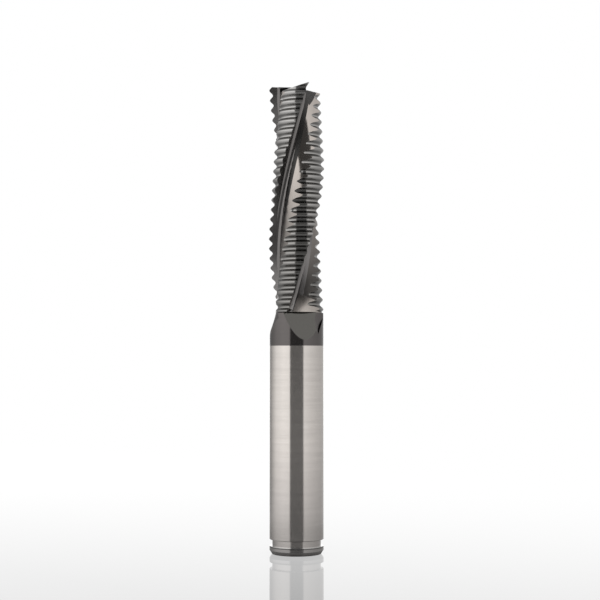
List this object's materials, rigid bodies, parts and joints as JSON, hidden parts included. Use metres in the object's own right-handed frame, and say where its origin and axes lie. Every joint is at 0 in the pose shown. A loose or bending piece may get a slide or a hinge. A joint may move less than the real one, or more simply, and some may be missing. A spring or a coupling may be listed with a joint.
{
  "type": "roughing end mill",
  "caption": "Solid carbide roughing end mill: helical flutes between ridged lands, ground end teeth, and a plain round shank with a grooved foot.",
  "frame": {"origin": "middle of the flat foot of the shank", "axes": "+Z along the tool's axis, from the shank to the cutting end; -Y faces the viewer of the picture"},
  "size_m": [0.013, 0.013, 0.11],
  "materials": {
    "ground_carbide": "fine ground, with a dark coat on the cutting end"
  },
  "bodies": {
    "root": {"end_mill": "ground_carbide"}
  },
  "joints": []
}
